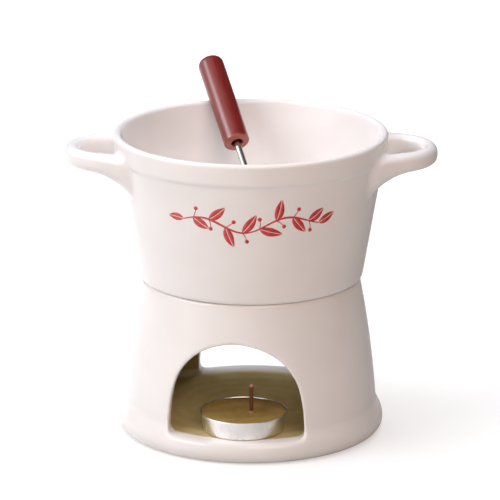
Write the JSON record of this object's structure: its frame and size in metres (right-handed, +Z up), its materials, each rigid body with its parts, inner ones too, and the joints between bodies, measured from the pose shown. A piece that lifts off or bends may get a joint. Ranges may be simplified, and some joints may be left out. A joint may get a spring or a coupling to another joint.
{
  "type": "fondue pot set",
  "caption": "Small glazed ceramic fondue pot with loop handles on an arched ceramic stand, with a tealight under it and a dipping fork in it.",
  "frame": {"origin": "centre of the stand's foot, on the table", "axes": "+Z up; -Y to the front; +X to the right, along the line through the two loop handles"},
  "size_m": [0.1632, 0.1286, 0.1536],
  "materials": {
    "stand_glaze": "gloss",
    "pot_glaze": "gloss",
    "cup_foil": "bright foil",
    "wax": null,
    "sustainer_steel": "tinned",
    "wick_cotton": "waxed braided cotton",
    "lacquered_wood": "satin lacquer",
    "fork_steel": "polished"
  },
  "bodies": {
    "stand": {"stand": "stand_glaze"},
    "pot": {"pot": "pot_glaze"},
    "tealight": {"tealight_cup": "cup_foil", "tealight_wax": "wax", "tealight_wick": "wick_cotton", "wick_sustainer": "sustainer_steel"},
    "fork": {"fork_handle": "lacquered_wood", "fork_shaft": "fork_steel"}
  },
  "joints": [
    {"name": "pot_lift", "type": "slide", "parent": "stand", "child": "pot", "axis": [0, 0, 1], "range_m": [0, 0.09]},
    {"name": "fork_draw", "type": "slide", "parent": "pot", "child": "fork", "axis": [-0.2622, 0.7488, 0.6088], "range_m": [0, 0.13]},
    {"name": "tealight_slide", "type": "slide", "parent": "stand", "child": "tealight", "axis": [-0.1392, -0.9903, 0], "range_m": [-0.035, 0.05]}
  ]
}
